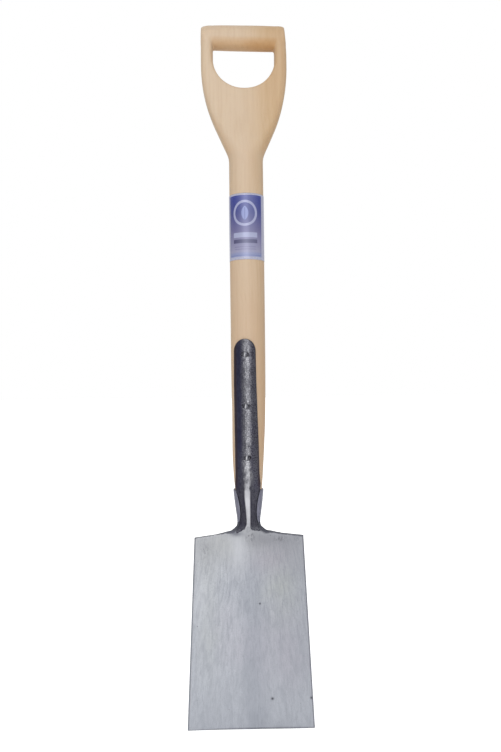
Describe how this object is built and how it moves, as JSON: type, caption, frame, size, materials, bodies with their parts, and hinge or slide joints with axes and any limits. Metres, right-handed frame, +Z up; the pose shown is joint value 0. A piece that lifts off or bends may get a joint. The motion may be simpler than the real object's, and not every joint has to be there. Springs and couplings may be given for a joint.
{
  "type": "garden spade",
  "caption": "Digging spade with a rectangular steel blade, two riveted straps and a one-piece wooden D-grip handle.",
  "frame": {"origin": "on the shaft's centre line, level with the cutting edge", "axes": "+Z up the shaft's centre line to the grip, -Y out of the spade's front, hollow face, +X across the blade"},
  "size_m": [0.179, 0.056, 0.992],
  "materials": {
    "ash_wood": "sanded and lightly oiled",
    "pin_steel": "cut flush and ground",
    "ground_steel": "ground, clear lacquered",
    "forged_steel": "hardened dark, lightly brushed",
    "rivet_steel": "hammered nearly flush",
    "label_foil": "glossy printed foil"
  },
  "bodies": {
    "root": {"handle": "ash_wood", "grip_pin": "pin_steel", "blade": "ground_steel", "front_strap": "forged_steel", "rear_strap": "forged_steel", "upper_rivet": "rivet_steel", "middle_rivet": "rivet_steel", "lower_rivet": "rivet_steel", "label": "label_foil"}
  },
  "joints": []
}
